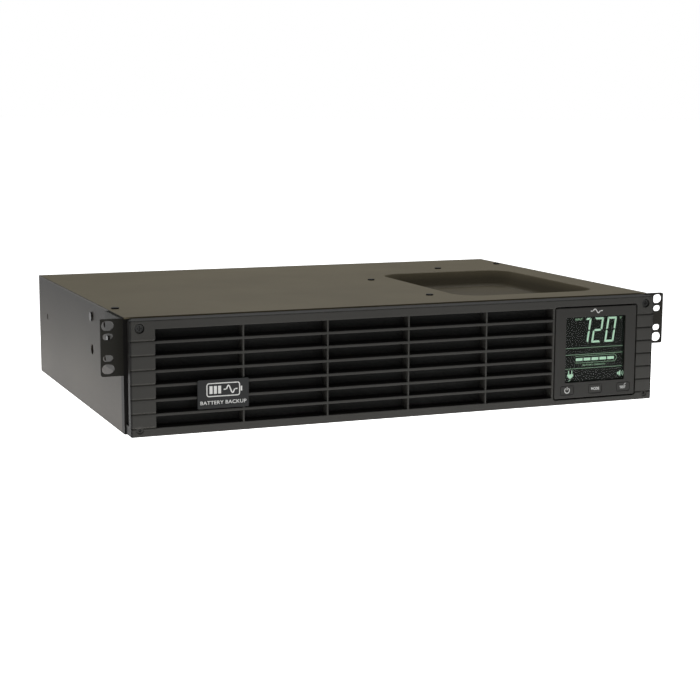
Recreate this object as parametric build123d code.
from build123d import *
import math
import os

os.makedirs("parts", exist_ok=True)

# Rack-mount uninterruptible power supply, two rack units high, in millimetres.
# +X is to the right seen from the front, the front faces -Y and +Z is up. The origin is the centre
# of the footprint. "Depth" in the comments is the distance behind the front face of the bezel.

# ---- driving dimensions ----
SHEET = 1.2
CHASSIS_DEPTH = 315.0
CHASSIS_HALF = 221.2
LID_TOP = 86.5
BEZEL_HALF = 220.0
BEZEL_HEIGHT = 85.5
BEZEL_DEPTH = 14.0
PLATE_PROUD = 1.2
REAR_PROUD = 3.8

# rack ears: 19 inch rack, slots half and quarter of a rack unit from the centre
EAR_HALF = 238.0
EAR_FRONT = 13.8
EAR_SHEET = 2.0
EAR_LOW = 43.8
EAR_TOP = 85.8
EAR_FLANGE_END = 60.0
RACK_HOLE_SPACING = 465.1
RACK_STEP = 15.875
EAR_CENTRE_Z = 65.0
BIG_SLOT = (9.2, 7.4)
SMALL_SLOT = (7.4, 5.0)

# louvred field of the bezel
FIELD_LEFT = -201.1
FIELD_RIGHT = 126.2
FIELD_LOW = 6.2
SLAT_COUNT = 6
SLAT_THICK = 2.0
SLOT_TALL = 8.67
SLAT_DEEP = 10.0
RIB_THICK = 1.2
RIB_PITCH = 67.0
FILTER_GAP = 0.3
SLOT_PITCH = SLAT_THICK + SLOT_TALL
FIELD_TOP = FIELD_LOW + SLAT_COUNT * SLOT_PITCH + SLOT_TALL

# display module
MODULE_X = 166.3
MODULE_Z = 42.0
MODULE_WIDE = 74.8
MODULE_TALL = 73.8
MODULE_CORNER = 1.2
MODULE_DEEP = 24.0
MODULE_WALL = 2.0
POCKET_GAP = 1.0
POCKET_WALL = 1.4
WINDOW = (138.5, 193.8, 17.9, 71.0)
KEY_CENTRES = (("power_button", 140.7), ("mode_button", 166.8), ("mute_button", 193.2))
KEY_Z = 11.8
KEY_WIDE = 12.0
KEY_TALL = 7.0
KEY_GAP = 0.3
KEY_FLANGE = 0.8
STAKE_LEVELS = (-15.0, 33.0)
BOARD_FRONT = 9.4
SWITCH_TALL = 4.0

# pocket pressed into the lid
POCKET = (67.0, 194.8, 43.0, 219.0)
POCKET_CORNER = 22.0
POCKET_DROP = 14.5
POCKET_DRAFT = 22.0

# fan, 60 mm size
FAN_X = 165.0
FAN_Z = 43.0
FAN_SIZE = 60.0
FAN_DEEP = 25.0
FAN_HOLE_STEP = 25.0
FAN_BORE = 28.5
SHAFT_R = 1.5
GUARD_WIRE = 0.9

# rear panel fittings
OUTLET_BLOCKS = (("outlet_block_left", -55.0), ("outlet_block_right", 25.0))
OUTLET_WIDE = 72.0
OUTLET_TALL = 66.0
OUTLET_Z = 43.0
OUTLET_STEP_X = 17.5
OUTLET_STEP_Z = 16.0
INLET_X = 98.0
INLET_Z = 57.0
BREAKER_Z = 22.0
PORTS_X = -113.0
SLOT_COVER_X = -168.0

# inside
BATTERY_LENGTH = 151.0
BATTERY_WIDE = 94.0
BATTERY_TALL = 65.0
BATTERY_FRONT = 24.0
BATTERY_LEFT_EDGES = (("battery_left", -212.0), ("battery_right", -108.0))
CORE_X = 130.0
CORE = (80.0, 90.0, 66.0)
CORE_FRONT = 82.0
BOARD = (-205.0, 58.0, 190.0, 283.0)
BOARD_Z = 8.0
BOARD_THICK = 1.6
CHOKE_TURNS = 14

BEZEL_FACE = -(CHASSIS_DEPTH + REAR_PROUD - PLATE_PROUD) / 2
CHASSIS_INNER = CHASSIS_HALF - SHEET
LID_LOW = LID_TOP - SHEET
PANEL_IN = CHASSIS_DEPTH - SHEET
PLATE_BACK = BEZEL_DEPTH + SHEET
WALL_START = 21.0
LIP = 12.0
SIDES = (-1, 1)

LID_SCREWS = ((-214.3, 64.1), (43.5, 176.9), (140.4, 244.3), (45.2, 59.8), (212.4, 264.0))
EDGE_LID_SCREWS = (LID_SCREWS[0], LID_SCREWS[4])
TOP_SCREW_XZ = (212.5, 79.7)
LOW_SCREW_XZ = (213.3, 5.3)
EAR_SCREW_SPOTS = ((26.0, 52.0), (26.0, 78.0), (50.0, 65.0))
SIDE_SCREW_SPOT = (112.2, 74.8)
TOOL_HOLE = (112.2, 49.0)
RAIL_HOLE_DEPTH = 70.5
RAIL_HOLE_HEIGHTS = (48.3, 74.1)
RAIL_HOLE_R = 2.4
REAR_SCREW_X = 214.0
REAR_SCREW_HEIGHTS = (14.0, 72.0)
SLOT_COVER_SCREWS = 31.0
INLET_SCREWS = 20.0


# ---- helpers ----
def block(x0, x1, d0, d1, z0, z1):
    """A box between two X, two depths and two heights."""
    centre = Pos((x0 + x1) / 2, BEZEL_FACE + (d0 + d1) / 2, (z0 + z1) / 2)
    return centre * Box(x1 - x0, d1 - d0, z1 - z0)


def rod(x, z, d0, d1, radius):
    """A cylinder that runs front to back."""
    return Pos(x, BEZEL_FACE + (d0 + d1) / 2, z) * Rot(90, 0, 0) * Cylinder(radius, d1 - d0)


def post(x, depth, z0, z1, radius):
    """An upright cylinder."""
    return Pos(x, BEZEL_FACE + depth, (z0 + z1) / 2) * Cylinder(radius, z1 - z0)


def bar(x0, x1, depth, z, radius):
    """A cylinder that runs left to right."""
    return Pos((x0 + x1) / 2, BEZEL_FACE + depth, z) * Rot(0, 90, 0) * Cylinder(radius, x1 - x0)


def slab(x, z, width, height, corner, d0, d1):
    """An upright plate with rounded corners, facing the front."""
    face = Plane.XZ.offset(-BEZEL_FACE - d0) * Pos(x, z) * RectangleRounded(width, height, corner)
    return extrude(face, -(d1 - d0))


def flat_slab(x0, x1, d0, d1, corner, z0, z1):
    """A level plate with rounded corners."""
    centre = Pos((x0 + x1) / 2, BEZEL_FACE + (d0 + d1) / 2, z0)
    return extrude(centre * RectangleRounded(x1 - x0, d1 - d0, corner), z1 - z0)


def slot(x, z, length, height, d0, d1):
    """A slot with round ends, cut front to back."""
    face = Plane.XZ.offset(-BEZEL_FACE - d0) * Pos(x, z) * SlotOverall(length, height)
    return extrude(face, -(d1 - d0))


def point(x, depth, z):
    """A point from its depth behind the bezel face."""
    return (x, BEZEL_FACE + depth, z)


def wire(points, bend, radius):
    """A round lead along straight runs joined by tangent arcs."""
    path = FilletPolyline(*[point(*p) for p in points], radius=bend)
    start = Plane(origin=path @ 0, z_dir=path % 0)
    return sweep(start * Circle(radius), path=path)


def save(node, pieces):
    """Write one node: a single solid, or a group of solids that stay separate."""
    group = pieces if isinstance(pieces, list) else [pieces]
    solids = [solid for piece in group for solid in piece.solids()]
    part = solids[0] if len(solids) == 1 else Compound(children=solids)
    export_step(part, f"parts/{node}.step")


# ---- chassis ----
def chassis_tray():
    """Base with both side walls, the lips under the lid and the lips behind the rear panel."""
    tray = block(-CHASSIS_INNER, CHASSIS_INNER, PLATE_BACK + 0.1, CHASSIS_DEPTH, 0, SHEET)
    for side in SIDES:
        wall = [side * CHASSIS_INNER, side * CHASSIS_HALF]
        lip = [side * (CHASSIS_INNER - LIP), side * CHASSIS_INNER]
        tray += block(min(wall), max(wall), WALL_START, CHASSIS_DEPTH, 0, LID_LOW)
        tray += block(min(lip), max(lip), WALL_START, PANEL_IN, LID_LOW - SHEET, LID_LOW)
        tray += block(min(lip), max(lip), PANEL_IN - SHEET, PANEL_IN, SHEET, LID_LOW)
        mid = side * (CHASSIS_INNER + CHASSIS_HALF) / 2
        for depth, height in EAR_SCREW_SPOTS + (SIDE_SCREW_SPOT,):
            tray -= bar(mid - 2, mid + 2, depth, height, 1.6)
        tray -= bar(mid - 2, mid + 2, TOOL_HOLE[0], TOOL_HOLE[1], 4.0)
        for height in RAIL_HOLE_HEIGHTS:
            tray -= bar(mid - 2, mid + 2, RAIL_HOLE_DEPTH, height, RAIL_HOLE_R)
        dimple = side * (CHASSIS_HALF + 0.4)
        tray -= bar(dimple - 0.8, dimple + 0.8, 280.0, 53.5, 2.5)
        for height in REAR_SCREW_HEIGHTS:
            tray -= rod(side * REAR_SCREW_X, height, PANEL_IN - 3, PANEL_IN + 1, 1.3)
    for x, depth in EDGE_LID_SCREWS:
        tray -= post(x, depth, LID_LOW - 3, LID_LOW + 1, 1.6)
    return tray


def pocket_form(grow, drop, floor_round):
    """The drafted, round-cornered form of the lid's pocket, from the lid's top face down."""
    x0, x1, d0, d1 = POCKET
    centre = Pos((x0 + x1) / 2, BEZEL_FACE + (d0 + d1) / 2, LID_TOP)
    mouth = centre * RectangleRounded(x1 - x0 + 2 * grow, d1 - d0 + 2 * grow, POCKET_CORNER + grow)
    form = extrude(mouth, -drop, taper=POCKET_DRAFT)
    return fillet(form.faces().sort_by(Axis.Z)[0].edges(), floor_round)


def top_cover():
    """Flat lid with a pressed pocket and a hole at each screw."""
    lid = block(-CHASSIS_HALF, CHASSIS_HALF, BEZEL_DEPTH + 0.1, CHASSIS_DEPTH, LID_LOW, LID_TOP)
    lid += pocket_form(SHEET, POCKET_DROP + SHEET, 6.0)
    lid -= pocket_form(0, POCKET_DROP, 5.0)
    x0, x1, d0, d1 = POCKET
    rim = [
        e
        for e in lid.edges()
        if abs(e.center().Z - LID_TOP) < 0.01
        and x0 - 1 < e.center().X < x1 + 1
        and BEZEL_FACE + d0 - 1 < e.center().Y < BEZEL_FACE + d1 + 1
    ]
    lid = fillet(rim, 1.6)
    for x, depth in LID_SCREWS:
        lid -= post(x, depth, LID_LOW - 1, LID_TOP + 1, 1.6)
    return lid


def rear_panel():
    """Upright panel between the side walls, with a cut-out for each fitting."""
    panel = block(-CHASSIS_INNER + 0.1, CHASSIS_INNER - 0.1, PANEL_IN, CHASSIS_DEPTH, SHEET, LID_LOW)
    cut = (PANEL_IN - 1, CHASSIS_DEPTH + 1)
    panel -= rod(FAN_X, FAN_Z, *cut, FAN_BORE)
    for sx in SIDES:
        for sz in SIDES:
            panel -= rod(FAN_X + sx * FAN_HOLE_STEP, FAN_Z + sz * FAN_HOLE_STEP, *cut, 2.2)
        for height in REAR_SCREW_HEIGHTS:
            panel -= rod(sx * REAR_SCREW_X, height, *cut, 1.6)
        panel -= rod(INLET_X + sx * INLET_SCREWS, INLET_Z, *cut, 1.6)
        panel -= rod(SLOT_COVER_X + sx * SLOT_COVER_SCREWS, OUTLET_Z, *cut, 1.6)
    for _, x in OUTLET_BLOCKS:
        panel -= slab(x, OUTLET_Z, OUTLET_WIDE - 4, OUTLET_TALL - 4, 3.0, *cut)
    panel -= slab(INLET_X, INLET_Z, 28.0, 20.4, 2.0, *cut)
    panel -= slab(INLET_X, BREAKER_Z, 22.0, 13.0, 1.0, *cut)
    panel -= slab(PORTS_X, 66.0, 13.0, 12.0, 0.5, *cut)
    panel -= slab(PORTS_X, 43.0, 20.0, 10.8, 2.0, *cut)
    panel -= slab(PORTS_X, 20.0, 30.0, 15.0, 0.5, *cut)
    panel -= slab(SLOT_COVER_X, OUTLET_Z, 50.0, 30.0, 1.0, *cut)
    panel -= rod(75.0, 10.0, *cut, 2.0)
    return panel


def front_plate():
    """Steel plate behind the bezel: vent slots, display opening and a flange along each side."""
    plate = block(-CHASSIS_HALF, CHASSIS_HALF, BEZEL_DEPTH, PLATE_BACK, 0, LID_LOW)
    for side in SIDES:
        wrap = [side * CHASSIS_INNER, side * CHASSIS_HALF]
        plate += block(min(wrap), max(wrap), PLATE_BACK, WALL_START - 0.2, 0, LID_LOW)
        tab = [side * (CHASSIS_INNER - 1.3), side * (CHASSIS_INNER - 0.1)]
        for low in (16.0, 56.0):
            plate += block(min(tab), max(tab), PLATE_BACK, 32.0, low, low + 14)
        for x, height in (TOP_SCREW_XZ, LOW_SCREW_XZ):
            plate -= rod(side * x, height, BEZEL_DEPTH - 1, PLATE_BACK + 1, 1.6)
    columns = round((FIELD_RIGHT - FIELD_LEFT) / RIB_PITCH)
    for column in range(columns):
        x = FIELD_LEFT + (column + 0.5) * RIB_PITCH - (2.0 if column == columns - 1 else 0.0)
        for row in range(SLAT_COUNT + 1):
            z = FIELD_LOW + SLOT_TALL / 2 + row * SLOT_PITCH
            plate -= slot(x, z, 54.0, 5.0, BEZEL_DEPTH - 1, PLATE_BACK + 1)
    gap = POCKET_GAP + POCKET_WALL + 0.3
    wide = MODULE_WIDE + 2 * gap
    tall = MODULE_TALL + 2 * gap
    plate -= slab(MODULE_X, MODULE_Z, wide, tall, MODULE_CORNER + gap, BEZEL_DEPTH - 1, PLATE_BACK + 1)
    return plate


# ---- bezel ----
def front_bezel():
    """Moulded front: louvres, grooved end blocks and the sleeve that holds the display module."""
    middle = BEZEL_HEIGHT / 2
    bezel = slab(0, middle, 2 * BEZEL_HALF, BEZEL_HEIGHT, 1.0, 0, BEZEL_DEPTH)
    bezel = chamfer(bezel.faces().sort_by(Axis.Y)[0].edges(), 0.6)
    bezel -= block(FIELD_LEFT, FIELD_RIGHT, SLAT_DEEP, BEZEL_DEPTH + 1, FIELD_LOW, FIELD_TOP)
    edges = [FIELD_LEFT] + [FIELD_LEFT + (i + 1) * RIB_PITCH for i in range(4)] + [FIELD_RIGHT]
    for left, right in zip(edges, edges[1:]):
        left_wall = left + (RIB_THICK / 2 if left > FIELD_LEFT else 0)
        right_wall = right - (RIB_THICK / 2 if right < FIELD_RIGHT else 0)
        for row in range(SLAT_COUNT + 1):
            low = FIELD_LOW + row * SLOT_PITCH
            bezel -= block(left_wall, right_wall, -1, SLAT_DEEP + 1, low, low + SLOT_TALL)
    wide = MODULE_WIDE + 2 * POCKET_GAP
    tall = MODULE_TALL + 2 * POCKET_GAP
    corner = MODULE_CORNER + POCKET_GAP
    sleeve = slab(
        MODULE_X, MODULE_Z, wide + 2 * POCKET_WALL, tall + 2 * POCKET_WALL, corner + POCKET_WALL, 8.0, 24.0
    )
    bezel += sleeve
    bezel -= slab(MODULE_X, MODULE_Z, wide, tall, corner, -1, 25.0)
    for side in SIDES:
        undercut = [side * (BEZEL_HALF - 3.2), side * (BEZEL_HALF + 1)]
        bezel -= block(min(undercut), max(undercut), 6.0, BEZEL_DEPTH + 1, 8.0, BEZEL_HEIGHT + 1)
        inner = FIELD_LEFT - 3.0 if side < 0 else MODULE_X + wide / 2 + POCKET_WALL + 1.0
        hollow = [inner, side * (BEZEL_HALF - 6.0)]
        bezel -= block(min(hollow), max(hollow), 4.0, BEZEL_DEPTH + 1, 10.0, 74.0)
        reach = FIELD_LEFT + 0.6 if side < 0 else MODULE_X + wide / 2 - 0.6
        for row in range(SLAT_COUNT + 1):
            height = FIELD_LOW + row * SLOT_PITCH
            span = (side * (BEZEL_HALF + 1), reach)
            profile = Plane.YZ.offset(min(span)) * Polygon(
                (BEZEL_FACE - 0.1, height - 0.5),
                (BEZEL_FACE + 0.8, height + 0.4),
                (BEZEL_FACE + 0.8, height + 0.9),
                (BEZEL_FACE - 0.1, height + 1.0),
                align=None,
            )
            bezel -= extrude(profile, max(span) - min(span))
        x, height = TOP_SCREW_XZ
        bezel += rod(side * x, height, 3.2, BEZEL_DEPTH, 3.2)
        bezel -= rod(side * x, height, -1, 3.0, 3.55)
        bezel -= rod(side * x, height, 2.0, BEZEL_DEPTH + 1, 1.6)
        x, height = LOW_SCREW_XZ
        bezel -= rod(side * x, height, -1, 0.6, 2.8)
        bezel -= rod(side * x, height, 0, BEZEL_DEPTH + 1, 1.15)
    return bezel


def dust_filter():
    """Foam pad held in the bezel's recess behind the louvres."""
    span = (FIELD_LEFT + FILTER_GAP, FIELD_RIGHT - FILTER_GAP)
    deep = (SLAT_DEEP + FILTER_GAP, BEZEL_DEPTH - FILTER_GAP)
    return block(*span, *deep, FIELD_LOW + FILTER_GAP, FIELD_TOP - FILTER_GAP)


def nameplate():
    """Small raised plate across the louvres."""
    return slab(-150.3, 28.65, 39.4, 21.5, 0.8, -PLATE_PROUD, 0)


def bezel_screws_top():
    """Pan-head screws sunk in the bezel's upper corners."""
    x, height = TOP_SCREW_XZ
    screws = []
    for side in SIDES:
        screw = rod(side * x, height, 1.2, 3.0, 3.0) + rod(side * x, height, 3.0, 19.0, 1.5)
        screw -= slab(side * x, height, 3.6, 0.8, 0.2, 0, 2.0)
        screw -= slab(side * x, height, 0.8, 3.6, 0.2, 0, 2.0)
        screws.append(screw)
    return screws


def bezel_screws_bottom():
    """Slim headless screws sunk in the bezel's lower corners."""
    x, height = LOW_SCREW_XZ
    return [rod(side * x, height, 1.6, 18.0, 1.1) for side in SIDES]


# ---- rack ears ----
def rack_ear(side):
    """Angle bracket with two large and two small rack slots."""
    low, high = sorted((side * CHASSIS_HALF, side * EAR_HALF))
    middle = (EAR_LOW + EAR_TOP) / 2
    front = EAR_FRONT + EAR_SHEET
    ear = slab((low + high) / 2, middle, high - low, EAR_TOP - EAR_LOW, 1.6, EAR_FRONT, front)
    root = sorted((side * CHASSIS_HALF, side * (CHASSIS_HALF + EAR_SHEET)))
    ear += block(*root, EAR_FRONT, EAR_FLANGE_END, EAR_LOW, EAR_TOP)
    for steps, (length, height) in ((1.0, BIG_SLOT), (0.5, SMALL_SLOT)):
        for up in SIDES:
            z = EAR_CENTRE_Z + up * steps * RACK_STEP
            ear -= slot(side * RACK_HOLE_SPACING / 2, z, length, height, EAR_FRONT - 1, front + 1)
    for depth, height in EAR_SCREW_SPOTS:
        ear -= bar(root[0] - 1, root[1] + 1, depth, height, 1.7)
    return ear


def side_screws():
    """Pan-head screws through both ear flanges and the upper screw of each side wall."""
    screws = []
    for side in SIDES:
        for depth, height in EAR_SCREW_SPOTS:
            seat = side * (CHASSIS_HALF + EAR_SHEET)
            screws.append(side_screw(side, seat, depth, height))
        screws.append(side_screw(side, side * CHASSIS_HALF, *SIDE_SCREW_SPOT))
    return screws


def side_screw(side, seat, depth, height):
    """One low pan-head screw whose head rests on the given X."""
    head = sorted((seat, seat + side * 1.2))
    shank = sorted((seat - side * 6.0, seat))
    return bar(*head, depth, height, 3.6) + bar(*shank, depth, height, 1.5)


def cover_screws():
    """Low pan-head screws in the lid."""
    screws = []
    for x, depth in LID_SCREWS:
        shank_low = LID_LOW - 5.0
        screws.append(post(x, depth, LID_TOP, LID_TOP + 1.0, 3.0) + post(x, depth, shank_low, LID_TOP, 1.5))
    return screws


def rear_screws():
    """Screws of the rear panel, the inlet, the accessory slot's cover and the fan."""
    spots = [(side * REAR_SCREW_X, z, 0.0) for side in SIDES for z in REAR_SCREW_HEIGHTS]
    spots += [(INLET_X + side * INLET_SCREWS, INLET_Z, 2.0) for side in SIDES]
    spots += [(SLOT_COVER_X + side * SLOT_COVER_SCREWS, OUTLET_Z, 1.0) for side in SIDES]
    screws = []
    for x, z, lift in spots:
        seat = CHASSIS_DEPTH + lift
        radius = 1.2 if abs(x) == REAR_SCREW_X else 1.5
        screws.append(rod(x, z, seat, seat + 1.6, 2.8) + rod(x, z, PANEL_IN - 4.0, seat, radius))
    return screws + fan_screws()


# ---- batteries ----
def battery_tray():
    """Open steel tray that carries both batteries, with a stop at the back and a folded front."""
    left = BATTERY_LEFT_EDGES[0][1] - 0.8
    right = BATTERY_LEFT_EDGES[1][1] + BATTERY_WIDE + 9.0
    back = BATTERY_FRONT + BATTERY_LENGTH
    low = SHEET + 0.1
    tray = block(left - 1, right + 1, BATTERY_FRONT - 1.5, back + 1.5, low, low + 1.0)
    tray += block(left - 1, left, BATTERY_FRONT - 1.5, back + 1.5, low, 24.0)
    tray += block(right, right + 1, BATTERY_FRONT - 1.5, back + 1.5, low, 12.0)
    tray += block(left - 1, right + 1, back + 0.5, back + 1.5, low, 30.0)
    tray += block(left - 1, right + 1, BATTERY_FRONT - 1.5, BATTERY_FRONT - 0.5, low, 10.0)
    return tray


def battery(left):
    """Sealed lead-acid block lying on its side, with a shallow step round its lid."""
    low = SHEET + 1.2
    back = BATTERY_FRONT + BATTERY_LENGTH
    body = flat_slab(left, left + BATTERY_WIDE - 12, BATTERY_FRONT, back, 2.0, low, low + BATTERY_TALL)
    lid = block(
        left + BATTERY_WIDE - 12,
        left + BATTERY_WIDE,
        BATTERY_FRONT + 0.8,
        back - 0.8,
        low + 0.8,
        low + BATTERY_TALL - 0.8,
    )
    groove = block(
        left + BATTERY_WIDE - 2,
        left + BATTERY_WIDE + 1,
        BATTERY_FRONT + 25,
        back - 25,
        low + 18,
        low + BATTERY_TALL - 18,
    )
    return body + lid - groove


def terminal_spots():
    """Where the four tab terminals stand: X of the lid's face, depth and height."""
    spots = []
    for _, left in BATTERY_LEFT_EDGES:
        for depth in (BATTERY_FRONT + 10, BATTERY_FRONT + BATTERY_LENGTH - 10):
            spots.append((left + BATTERY_WIDE, depth, 54.0))
    return spots


def battery_terminals():
    """Flat tab terminals."""
    return [block(x, x + 6.3, depth - 3.2, depth + 3.2, z - 0.4, z + 0.4) for x, depth, z in terminal_spots()]


def battery_lead_red():
    """Positive lead from the right battery's rear tab to the battery connector."""
    x, depth, z = terminal_spots()[3]
    points = [
        (x + 3, depth, z + 2.7),
        (x + 16, depth + 2, z + 3),
        (x + 24, depth + 16, z - 12),
        (x + 26, depth + 24, 26),
    ]
    return wire(points, 7.0, 2.2)


def battery_leads_black():
    """Negative lead from the left battery and the jumper between the two batteries."""
    x, depth, z = terminal_spots()[1]
    far = terminal_spots()[3][0]
    lead = wire(
        [
            (x + 3, depth + 5, z - 3.1),
            (x + 5, depth + 16, z - 6),
            (x + 40, depth + 22, z - 8),
            (far + 8, depth + 22, 34),
            (far + 18, depth + 24, 26),
        ],
        7.0,
        2.2,
    )
    x0, d0, z0 = terminal_spots()[0]
    jumper_z = BATTERY_TALL + SHEET + 1.2 + 2.6
    x1 = terminal_spots()[2][0]
    jumper = wire(
        [
            (x0 + 3, d0, z0 + 2.7),
            (x0 + 4, d0 + 3, jumper_z),
            ((x0 + x1) / 2, d0 + 8, jumper_z + 0.5),
            (x1 + 4, d0 + 3, jumper_z),
            (x1 + 4, d0, z0 + 2.7),
        ],
        5.0,
        2.2,
    )
    return [lead, jumper]


def battery_connector():
    """Two-pole power connector on the board, with lead sockets facing the front."""
    x = terminal_spots()[3][0] + 22
    base = BOARD_Z + BOARD_THICK
    back = BOARD[2] + 30
    housing = block(x - 10, x + 10, BOARD[2] + 6, back, base, 33.0)
    housing -= block(x - 8.5, x - 0.7, BOARD[2] + 5, BOARD[2] + 12, 20.0, 31.5)
    housing -= block(x + 0.7, x + 8.5, BOARD[2] + 5, BOARD[2] + 12, 20.0, 31.5)
    return housing


# ---- transformer ----
def transformer_core():
    """Laminated core with two windows."""
    width, depth, height = CORE
    low = SHEET + 1.6
    core = block(CORE_X - width / 2, CORE_X + width / 2, CORE_FRONT, CORE_FRONT + depth, low, low + height)
    limb = width / 6
    cut = (CORE_FRONT - 1, CORE_FRONT + depth + 1)
    for side in SIDES:
        centre = CORE_X + side * limb * 1.5
        core -= block(centre - limb / 2, centre + limb / 2, *cut, low + limb, low + height - limb)
    return core


def transformer_coil():
    """Winding on the centre limb, bulging out at the front and the back."""
    width, depth, height = CORE
    low = SHEET + 1.6
    limb = width / 6
    reach = 2 * limb - 0.6
    z0 = low + limb + 0.5
    z1 = low + height - limb - 0.5
    bulge = limb - 1.5
    ends = (CORE_FRONT - bulge, CORE_FRONT + depth + bulge)
    coil = flat_slab(CORE_X - reach, CORE_X + reach, *ends, 10.0, z0, z1)
    centre_limb = (CORE_X - limb - 0.2, CORE_X + limb + 0.2, CORE_FRONT - 0.2, CORE_FRONT + depth + 0.2)
    return coil - block(*centre_limb, z0 - 1, z1 + 1)


def transformer_bracket():
    """Strap over the core with a foot on each side."""
    width, depth, height = CORE
    low = SHEET + 1.6
    top = low + height + 0.1
    d0 = CORE_FRONT + depth / 2 - 20
    d1 = d0 + 40
    outer = width / 2 + 0.2
    strap = block(CORE_X - outer - 1.5, CORE_X + outer + 1.5, d0, d1, top, top + 1.5)
    for side in SIDES:
        leg = sorted((CORE_X + side * outer, CORE_X + side * (outer + 1.5)))
        foot = sorted((CORE_X + side * outer, CORE_X + side * (outer + 14)))
        strap += block(*leg, d0, d1, SHEET, top)
        strap += block(*foot, d0, d1, SHEET, SHEET + 1.5)
        for depth_hole in (d0 + 8, d1 - 8):
            strap -= post(CORE_X + side * (outer + 8), depth_hole, 0, 8, 2.2)
    return strap


def transformer_bolts():
    """Hexagon bolts that hold the strap's feet down."""
    bolts = []
    width, depth, _ = CORE
    d0 = CORE_FRONT + depth / 2 - 20
    for side in SIDES:
        for hole in (d0 + 8, d0 + 32):
            x = CORE_X + side * (width / 2 + 8.2)
            seat = SHEET + 1.5
            head = extrude(Pos(*point(x, hole, seat)) * RegularPolygon(4.0, 6), 2.8)
            bolts.append(head + post(x, hole, SHEET, seat, 2.0))
    return bolts


# ---- power electronics ----
def board_holes():
    x0, x1, d0, d1 = BOARD
    return [(x, d) for x in (x0 + 6, (x0 + x1) / 2, x1 - 6) for d in (d0 + 6, d1 - 6)]


def main_board():
    """Printed board with a hole at each standoff."""
    x0, x1, d0, d1 = BOARD
    board = block(x0, x1, d0, d1, BOARD_Z, BOARD_Z + BOARD_THICK)
    for x, depth in board_holes():
        board -= post(x, depth, BOARD_Z - 1, BOARD_Z + 3, 1.6)
    return board


def board_standoffs():
    """Hexagon pillars under the board."""
    posts = []
    for x, depth in board_holes():
        pillar = extrude(Pos(*point(x, depth, SHEET)) * RegularPolygon(3.2, 6), BOARD_Z - SHEET)
        posts.append(pillar - post(x, depth, BOARD_Z - 5, BOARD_Z + 1, 1.35))
    return posts


def board_screws():
    """Screws that hold the board on its pillars."""
    top = BOARD_Z + BOARD_THICK
    screws = []
    for x, depth in board_holes():
        screws.append(post(x, depth, top, top + 1.6, 2.8) + post(x, depth, BOARD_Z - 4, top, 1.3))
    return screws


def heat_sinks():
    """Two finned extrusions that stand on the board, back to back."""
    sinks = []
    low = BOARD_Z + BOARD_THICK
    for spine, direction in ((BOARD[2] + 32, -1), (BOARD[2] + 56, 1)):
        left = BOARD[0] + 16
        sink = block(left, left + 90, spine - 1.5, spine + 1.5, low, low + 48)
        tip = sorted((spine, spine + direction * 16))
        for fin in range(10):
            x = left + fin * (90 - 1.4) / 9
            sink += block(x, x + 1.4, *tip, low, low + 48)
        sinks.append(sink)
    return sinks


def power_transistors():
    """Packages against the inner faces of both heat sinks."""
    packages = []
    low = BOARD_Z + BOARD_THICK
    for spine, direction in ((BOARD[2] + 32, 1), (BOARD[2] + 56, -1)):
        for place in range(4):
            x = BOARD[0] + 28 + place * 21
            near = spine + direction * 1.5
            span = sorted((near, near + direction * 4.6))
            body = block(x - 7.8, x + 7.8, *span, low + 4, low + 24)
            for leg in (-5.4, 0, 5.4):
                depth = near + direction * 2.3
                body += block(x + leg - 0.6, x + leg + 0.6, depth - 0.3, depth + 0.3, low, low + 4)
            packages.append(body)
    return packages


def filter_capacitors():
    """Large can capacitors beside the heat sinks."""
    low = BOARD_Z + BOARD_THICK
    cans = []
    for column in range(2):
        for row in range(3):
            can = post(BOARD[0] + 122 + column * 26, BOARD[2] + 18 + row * 26, low, low + 40, 11.0)
            cans.append(fillet(can.edges().sort_by(Axis.Z)[-1], 1.2))
    return cans


def transfer_relays():
    """Sealed relay cubes."""
    low = BOARD_Z + BOARD_THICK
    x = BOARD[0] + 182
    return [block(x - 8, x + 11, d, d + 15.5, low, low + 15.5) for d in (BOARD[2] + 40, BOARD[2] + 60)]


def choke_place():
    """Centre of the ring choke that stands on the board."""
    return (BOARD[0] + 228, BOARD[2] + 72, BOARD_Z + BOARD_THICK + 17.2)


def choke_core():
    """Ring core of the output filter choke."""
    x, depth, z = choke_place()
    return Pos(*point(x, depth, z)) * Rot(0, 90, 0) * (Cylinder(15.0, 12.0) - Cylinder(8.0, 14.0))


def choke_winding():
    """Turns of copper wire round the ring core, as separate loops."""
    x, depth, z = choke_place()
    turns = []
    for turn in range(CHOKE_TURNS):
        angle = -60 + turn * 300 / (CHOKE_TURNS - 1)
        place = Pos(*point(x, depth, z)) * Rot(0, 90, 0) * Rot(0, 0, angle) * Pos(11.5, 0, 0) * Rot(90, 0, 0)
        turns.append(place * Box(9.6, 14.4, 1.8) - place * Box(7.1, 12.1, 2.4))
    return turns


def alarm_buzzer():
    """Round sounder with a hole in its top."""
    low = BOARD_Z + BOARD_THICK
    place = (BOARD[1] - 24, BOARD[2] + 22)
    return post(*place, low, low + 9, 8.0) - post(*place, low + 4, low + 10, 1.5)


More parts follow.
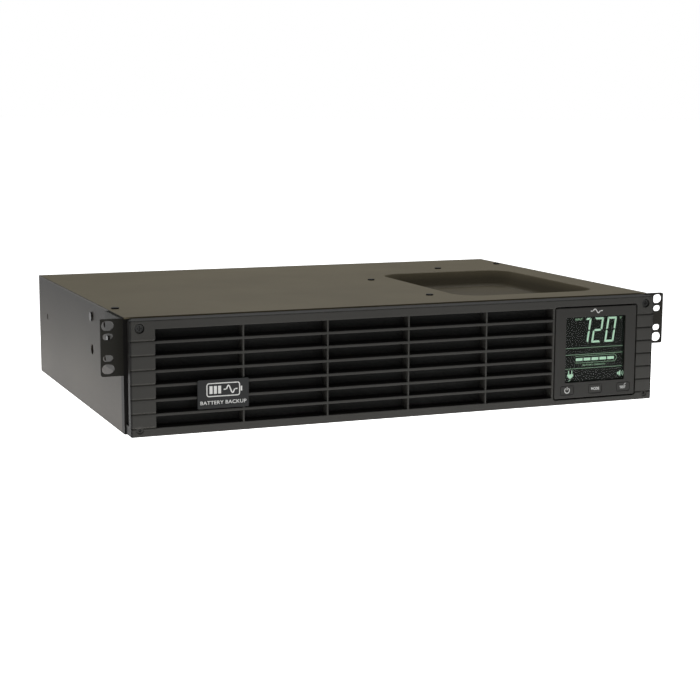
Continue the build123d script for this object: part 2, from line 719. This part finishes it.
# ---- fan ----
def fan_frame():
    """Square duct with a motor seat carried by three struts at its outlet."""
    back = PANEL_IN
    front = PANEL_IN - FAN_DEEP
    frame = slab(FAN_X, FAN_Z, FAN_SIZE, FAN_SIZE, 4.0, front, back)
    frame -= rod(FAN_X, FAN_Z, front - 1, back + 1, FAN_BORE)
    frame += rod(FAN_X, FAN_Z, back - 3.5, back - 0.5, 13.0)
    centre = Pos(*point(FAN_X, back - 2.0, FAN_Z))
    for strut in range(3):
        frame += centre * Rot(0, 30 + strut * 120, 0) * Pos(20.6, 0, 0) * Box(18.0, 3.0, 3.4)
    frame += rod(FAN_X, FAN_Z, back - 10.0, back - 3.5, 4.0)
    frame -= rod(FAN_X, FAN_Z, back - 11.0, back - 1.5, SHAFT_R + 0.06)
    for sx in SIDES:
        for sz in SIDES:
            hole = (FAN_X + sx * FAN_HOLE_STEP, FAN_Z + sz * FAN_HOLE_STEP)
            frame -= rod(*hole, front - 1, back + 1, 2.2)
    return frame


def fan_impeller():
    """Hub with seven pitched blades and a shaft in the motor seat's bore."""
    back = PANEL_IN
    hub_front = back - FAN_DEEP + 2.0
    hub_back = back - 4.2
    hub = rod(FAN_X, FAN_Z, hub_front, hub_back, 12.8)
    hub -= rod(FAN_X, FAN_Z, hub_front + 2.0, hub_back + 1, 11.0)
    middle = (hub_front + hub_back) / 2
    centre = Pos(*point(FAN_X, middle, FAN_Z))
    blades = []
    for blade in range(7):
        turn = Rot(0, blade * 360 / 7, 0)
        blades.append(centre * turn * Pos(19.5, 0, 0) * Rot(38, 0, 0) * Box(18.0, 1.4, 17.0))
    sweep_space = rod(FAN_X, FAN_Z, hub_front, hub_back, FAN_BORE - 0.9)
    sweep_space -= rod(FAN_X, FAN_Z, hub_front - 1, hub_back + 1, 12.0)
    impeller = hub
    for blade in blades:
        impeller += blade & sweep_space
    impeller += rod(FAN_X, FAN_Z, hub_front + 1.0, back - 2.0, SHAFT_R)
    return impeller


def fan_guard():
    """Wire rings on two crossing wires, with an eye at each screw."""
    low = CHASSIS_DEPTH + GUARD_WIRE
    centre = Pos(*point(FAN_X, low, FAN_Z)) * Rot(90, 0, 0)
    guard = centre * Torus(28.0, GUARD_WIRE)
    for ring in (8.0, 14.6, 21.3):
        guard += centre * Torus(ring, GUARD_WIRE)
    reach = FAN_HOLE_STEP * math.sqrt(2) - 3.66
    for tilt in (45, -45):
        spoke = Pos(*point(FAN_X, low + 0.6, FAN_Z)) * Rot(0, tilt, 0) * Rot(0, 90, 0)
        guard += spoke * Cylinder(GUARD_WIRE, 2 * reach)
    for sx in SIDES:
        for sz in SIDES:
            eye = Pos(*point(FAN_X + sx * FAN_HOLE_STEP, low, FAN_Z + sz * FAN_HOLE_STEP))
            guard += eye * Rot(90, 0, 0) * Torus(3.0, GUARD_WIRE)
    return guard


def fan_screws():
    """Self-tapping screws that hold the guard and the fan."""
    seat = CHASSIS_DEPTH + 2 * GUARD_WIRE
    screws = []
    for sx in SIDES:
        for sz in SIDES:
            spot = (FAN_X + sx * FAN_HOLE_STEP, FAN_Z + sz * FAN_HOLE_STEP)
            screws.append(rod(*spot, seat, seat + 2.0, 3.4) + rod(*spot, PANEL_IN - 10.0, seat, 2.0))
    return screws


# ---- rear fittings ----
def receptacle_centres(x):
    return [(x + sx * OUTLET_STEP_X, OUTLET_Z + sz * OUTLET_STEP_Z) for sx in SIDES for sz in SIDES]


def blade_slots(x, z):
    """Centre, width and height of the three openings' blade slots of one receptacle."""
    return ((x - 6.35, z + 3.0, 2.0, 8.4), (x + 6.35, z + 3.0, 2.0, 6.8))


def outlet_block(x):
    """Moulded block with four receptacles, each with two blade slots and an earth hole."""
    face = CHASSIS_DEPTH + 2.5
    body = slab(x, OUTLET_Z, OUTLET_WIDE, OUTLET_TALL, 3.0, CHASSIS_DEPTH, face)
    body += slab(x, OUTLET_Z, OUTLET_WIDE - 4.6, OUTLET_TALL - 4.6, 2.6, PANEL_IN - 24.0, CHASSIS_DEPTH)
    for cx, cz in receptacle_centres(x):
        rim = slab(cx, cz, 32.0, 28.0, 5.0, face - 0.8, face + 1)
        rim -= slab(cx, cz, 30.4, 26.4, 4.2, face - 1, face + 2)
        body -= rim
        for sx, sz, width, height in blade_slots(cx, cz):
            tall = (sz - height / 2, sz + height / 2)
            body -= block(sx - width / 2, sx + width / 2, face - 14.0, face + 1, *tall)
            body -= block(sx - 2.2, sx + 2.2, face - 18.0, face - 4.0, sz - 5.0, sz + 5.0)
        body -= rod(cx, cz - 8.0, face - 16.0, face + 1, 2.5)
    return body


def outlet_contacts():
    """Folded brass contacts behind each blade slot."""
    contacts = []
    face = CHASSIS_DEPTH + 2.5
    for _, x in OUTLET_BLOCKS:
        for cx, cz in receptacle_centres(x):
            for sx, sz, _, height in blade_slots(cx, cz):
                clip = block(sx - 1.9, sx + 1.9, face - 15.0, face - 5.0, sz - 4.0, sz + 4.0)
                clip -= block(sx - 1.1, sx + 1.1, face - 14.0, face - 4.0, sz - 5.0, sz + 5.0)
                contacts.append(clip)
    return contacts


def inlet_body():
    """Power inlet: screw flange and a deep mouth with two bevelled corners."""
    face = CHASSIS_DEPTH + 2.0
    body = slab(INLET_X, INLET_Z, 50.0, 23.0, 3.0, CHASSIS_DEPTH, face)
    body += slab(INLET_X, INLET_Z, 27.4, 19.8, 1.5, PANEL_IN - 18.0, CHASSIS_DEPTH)
    mouth = Plane.XZ.offset(-BEZEL_FACE - face - 1) * Pos(INLET_X, INLET_Z) * Polygon(
        (-12.1, -8.2),
        (12.1, -8.2),
        (12.1, 4.0),
        (8.0, 8.2),
        (-8.0, 8.2),
        (-12.1, 4.0),
        align=None,
    )
    body -= extrude(mouth, 18.0)
    for px, pz in inlet_pin_spots():
        body -= block(px - 1.0, px + 1.0, PANEL_IN - 20.0, face, pz - 2.0, pz + 2.0)
    for side in SIDES:
        body -= rod(INLET_X + side * INLET_SCREWS, INLET_Z, CHASSIS_DEPTH - 1, face + 1, 1.6)
    return body


def inlet_pin_spots():
    return ((INLET_X - 7.0, INLET_Z - 2.0), (INLET_X + 7.0, INLET_Z - 2.0), (INLET_X, INLET_Z + 2.5))


def inlet_pins():
    """Two line blades and the earth blade."""
    ends = (PANEL_IN - 26.0, CHASSIS_DEPTH - 2.0)
    return [block(px - 1.0, px + 1.0, *ends, pz - 2.0, pz + 2.0) for px, pz in inlet_pin_spots()]


def breaker_body():
    """Snap-in breaker housing with a square bezel and a guide for its button."""
    face = CHASSIS_DEPTH + 1.5
    body = slab(INLET_X, BREAKER_Z, 26.0, 17.0, 1.5, CHASSIS_DEPTH, face)
    body += slab(INLET_X, BREAKER_Z, 21.4, 12.4, 0.8, PANEL_IN - 22.0, CHASSIS_DEPTH)
    return body - rod(INLET_X, BREAKER_Z, face - 12.0, face + 1, 4.3)


def breaker_button():
    """Reset button that pops out when the breaker trips."""
    face = CHASSIS_DEPTH + 1.5
    button = rod(INLET_X, BREAKER_Z, face - 10.0, face + 1.8, 4.0)
    return fillet(button.edges().sort_by(Axis.Y)[-1], 0.6)


def usb_port():
    """Square data port: metal shell round an insulating tongue."""
    back = CHASSIS_DEPTH - 16.0
    face = CHASSIS_DEPTH + 0.6
    shell = slab(PORTS_X, 66.0, 12.0, 11.0, 0.5, back, face)
    shell -= slab(PORTS_X, 66.0, 8.6, 7.8, 0.5, back + 4.0, face + 1)
    return shell + slab(PORTS_X, 66.0, 5.6, 3.2, 0.3, back + 3.0, face - 1.5)


def serial_port():
    """Nine-way data port: D-shaped shell filled by an insulator, on a flange with hexagon pillars."""
    face = CHASSIS_DEPTH + 0.8
    port = slab(PORTS_X, 43.0, 31.0, 12.5, 1.5, CHASSIS_DEPTH, face)
    port += slab(PORTS_X, 43.0, 19.0, 10.0, 2.0, CHASSIS_DEPTH - 10.0, CHASSIS_DEPTH)
    outline = Plane.XZ.offset(-BEZEL_FACE - CHASSIS_DEPTH) * Pos(PORTS_X, 43.0) * Polygon(
        (-7.8, -4.1),
        (7.8, -4.1),
        (8.6, 4.1),
        (-8.6, 4.1),
        align=None,
    )
    port += extrude(outline, -3.4)
    for row, count in ((1.4, 5), (-1.4, 4)):
        for pin in range(count):
            x = PORTS_X + (pin - (count - 1) / 2) * 2.77
            port -= rod(x, 43.0 + row, CHASSIS_DEPTH - 1, CHASSIS_DEPTH + 4, 0.55)
    for side in SIDES:
        spot = Plane.XZ.offset(-BEZEL_FACE - face) * Pos(PORTS_X + side * 12.5, 43.0)
        port += extrude(spot * RegularPolygon(2.7, 6), -2.4)
        port -= rod(PORTS_X + side * 12.5, 43.0, face, face + 3, 1.3)
    return port


def network_jacks():
    """Pair of modular data sockets side by side."""
    back = CHASSIS_DEPTH - 16.0
    face = CHASSIS_DEPTH + 0.6
    jacks = slab(PORTS_X, 20.0, 29.6, 14.6, 0.4, back, face)
    for side in SIDES:
        x = PORTS_X + side * 7.2
        jacks -= block(x - 5.9, x + 5.9, back + 3.0, face + 1, 16.2, 23.6)
        jacks -= block(x - 3.1, x + 3.1, back + 3.0, face + 1, 14.2, 16.3)
    return jacks


def accessory_cover():
    """Blanking plate of the accessory slot, with a folded stiffening rib."""
    cover = slab(SLOT_COVER_X, OUTLET_Z, 70.0, 40.0, 1.0, CHASSIS_DEPTH, CHASSIS_DEPTH + 1.0)
    cover += slab(SLOT_COVER_X, OUTLET_Z, 46.0, 26.0, 1.0, CHASSIS_DEPTH - 5.0, CHASSIS_DEPTH)
    cover -= slab(SLOT_COVER_X, OUTLET_Z, 44.0, 24.0, 0.5, CHASSIS_DEPTH - 6.0, CHASSIS_DEPTH - 1.0)
    for side in SIDES:
        x = SLOT_COVER_X + side * SLOT_COVER_SCREWS
        cover -= rod(x, OUTLET_Z, CHASSIS_DEPTH - 1, CHASSIS_DEPTH + 2, 1.6)
    return cover


def ground_screw():
    """Earth stud screw with a slotted head on a washer."""
    screw = rod(75.0, 10.0, CHASSIS_DEPTH, CHASSIS_DEPTH + 0.8, 4.6)
    screw += rod(75.0, 10.0, CHASSIS_DEPTH + 0.8, CHASSIS_DEPTH + 3.2, 3.6)
    screw += rod(75.0, 10.0, PANEL_IN - 4.0, CHASSIS_DEPTH, 1.9)
    return screw - block(71.0, 79.0, CHASSIS_DEPTH + 2.4, CHASSIS_DEPTH + 4, 9.5, 10.5)


# ---- display module ----
def display_housing():
    """Square shell with a window, three key openings and heat-stake pins for the board."""
    shell = slab(MODULE_X, MODULE_Z, MODULE_WIDE, MODULE_TALL, MODULE_CORNER, 0, MODULE_DEEP)
    shell = fillet(shell.faces().sort_by(Axis.Y)[0].edges(), 0.6)
    inner = (MODULE_WIDE - 2 * MODULE_WALL, MODULE_TALL - 2 * MODULE_WALL)
    shell -= slab(MODULE_X, MODULE_Z, *inner, 1.4, 2.5, MODULE_DEEP + 1)
    x0, x1, z0, z1 = WINDOW
    shell -= slab((x0 + x1) / 2, (z0 + z1) / 2, x1 - x0, z1 - z0, 1.0, -1, 3)
    shell -= slab((x0 + x1) / 2, (z0 + z1) / 2, x1 - x0 + 3.2, z1 - z0 + 3.2, 1.0, 1.2, 3)
    for _, x in KEY_CENTRES:
        shell -= slab(x, KEY_Z, KEY_WIDE + 2 * KEY_GAP, KEY_TALL + 2 * KEY_GAP, 1.6 + KEY_GAP, -1, 3)
    for x, z in stake_spots():
        shell += rod(x, z, 2.5, BOARD_FRONT, 2.0) + rod(x, z, BOARD_FRONT, BOARD_FRONT + 2.6, 1.1)
    return shell


def stake_spots():
    """Corners and mid-height of the display board, clear of the window and the keys."""
    return [
        (MODULE_X + side * (MODULE_WIDE / 2 - MODULE_WALL - 2.3), MODULE_Z + level)
        for side in SIDES
        for level in STAKE_LEVELS
    ]


def display_lens():
    """Clear window seated in the rebate behind the housing's face."""
    x0, x1, z0, z1 = WINDOW
    return slab((x0 + x1) / 2, (z0 + z1) / 2, x1 - x0 + 2.8, z1 - z0 + 2.8, 0.9, 1.25, 2.45)


def lcd_panel():
    """Liquid-crystal panel behind the window."""
    x0, x1, z0, z1 = WINDOW
    return slab((x0 + x1) / 2, (z0 + z1) / 2, x1 - x0 + 2.8, z1 - z0 + 2.8, 0.9, 2.6, 6.2)


def display_board():
    """Board behind the panel, with the lead's connector on its back."""
    width = MODULE_WIDE - 2 * MODULE_WALL - 0.6
    height = MODULE_TALL - 2 * MODULE_WALL - 0.6
    board = slab(MODULE_X, MODULE_Z, width, height, 1.2, BOARD_FRONT, BOARD_FRONT + 1.6)
    for x, z in stake_spots():
        board -= rod(x, z, BOARD_FRONT - 1, BOARD_FRONT + 3, 1.15)
    return board + slab(MODULE_X, MODULE_Z, 16.0, 6.0, 0.4, BOARD_FRONT + 1.6, BOARD_FRONT + 8.0)


def display_back():
    """Rear plate of the display module with a window for the lead."""
    width = MODULE_WIDE - 2 * MODULE_WALL - 0.2
    height = MODULE_TALL - 2 * MODULE_WALL - 0.2
    plate = slab(MODULE_X, MODULE_Z, width, height, 1.3, MODULE_DEEP - 1.6, MODULE_DEEP)
    return plate - slab(MODULE_X, MODULE_Z, 20.0, 10.0, 1.0, MODULE_DEEP - 3, MODULE_DEEP + 1)


def tact_switches():
    """Square key switches on the board, each with a bore for its key's stem."""
    front = BOARD_FRONT - SWITCH_TALL
    switches = []
    for _, x in KEY_CENTRES:
        body = slab(x, KEY_Z, 6.0, 6.0, 0.4, front, BOARD_FRONT)
        switches.append(body - rod(x, KEY_Z, front - 1, front + 2.0, 1.9))
    return switches


def key(x):
    """Flush key with a retaining flange behind the housing's face and a stem to its switch."""
    cap = slab(x, KEY_Z, KEY_WIDE, KEY_TALL, 1.6, 0, 3.6)
    cap = fillet(cap.faces().sort_by(Axis.Y)[0].edges(), 0.3)
    cap += slab(x, KEY_Z, KEY_WIDE + 2 * KEY_FLANGE, KEY_TALL + 2 * KEY_FLANGE, 1.8, 2.8, 3.6)
    return cap + rod(x, KEY_Z, 3.6, BOARD_FRONT - SWITCH_TALL + 0.4, 1.6)


def display_cable():
    """Lead from the display module to the main board, held along the floor."""
    points = [
        (MODULE_X, 18.6, MODULE_Z),
        (MODULE_X, 36.0, MODULE_Z),
        (MODULE_X + 6, 50.0, 34.0),
        (MODULE_X + 24, 60.0, 20.0),
        (MODULE_X + 32, 76.0, 8.0),
        (MODULE_X + 32, 100.0, 4.4),
        (MODULE_X + 30, 140.0, 4.4),
        (MODULE_X + 24, 180.0, 4.4),
        (MODULE_X - 10, 206.0, 4.6),
        (MODULE_X - 60, 214.0, 8.0),
        (BOARD[1] - 4, 216.0, 14.0),
    ]
    return wire(points, 8.0, 2.2)


NODES = {
    "chassis_tray": chassis_tray,
    "top_cover": top_cover,
    "rear_panel": rear_panel,
    "front_plate": front_plate,
    "front_bezel": front_bezel,
    "dust_filter": dust_filter,
    "nameplate": nameplate,
    "rack_ear_left": lambda: rack_ear(-1),
    "rack_ear_right": lambda: rack_ear(1),
    "side_screws": side_screws,
    "bezel_screws_top": bezel_screws_top,
    "bezel_screws_bottom": bezel_screws_bottom,
    "cover_screws": cover_screws,
    "rear_screws": rear_screws,
    "battery_tray": battery_tray,
    "battery_terminals": battery_terminals,
    "battery_lead_red": battery_lead_red,
    "battery_leads_black": battery_leads_black,
    "battery_connector": battery_connector,
    "transformer_core": transformer_core,
    "transformer_coil": transformer_coil,
    "transformer_bracket": transformer_bracket,
    "transformer_bolts": transformer_bolts,
    "main_board": main_board,
    "board_standoffs": board_standoffs,
    "board_screws": board_screws,
    "heat_sinks": heat_sinks,
    "power_transistors": power_transistors,
    "filter_capacitors": filter_capacitors,
    "transfer_relays": transfer_relays,
    "choke_core": choke_core,
    "choke_winding": choke_winding,
    "alarm_buzzer": alarm_buzzer,
    "fan_frame": fan_frame,
    "fan_impeller": fan_impeller,
    "fan_guard": fan_guard,
    "outlet_contacts": outlet_contacts,
    "inlet_body": inlet_body,
    "inlet_pins": inlet_pins,
    "breaker_body": breaker_body,
    "breaker_button": breaker_button,
    "usb_port": usb_port,
    "serial_port": serial_port,
    "network_jacks": network_jacks,
    "accessory_cover": accessory_cover,
    "ground_screw": ground_screw,
    "display_housing": display_housing,
    "display_lens": display_lens,
    "lcd_panel": lcd_panel,
    "display_board": display_board,
    "display_back": display_back,
    "tact_switches": tact_switches,
    "display_cable": display_cable,
}

for node, make in NODES.items():
    save(node, make())
for node, left in BATTERY_LEFT_EDGES:
    save(node, battery(left))
for node, x in OUTLET_BLOCKS:
    save(node, outlet_block(x))
for node, x in KEY_CENTRES:
    save(node, key(x))
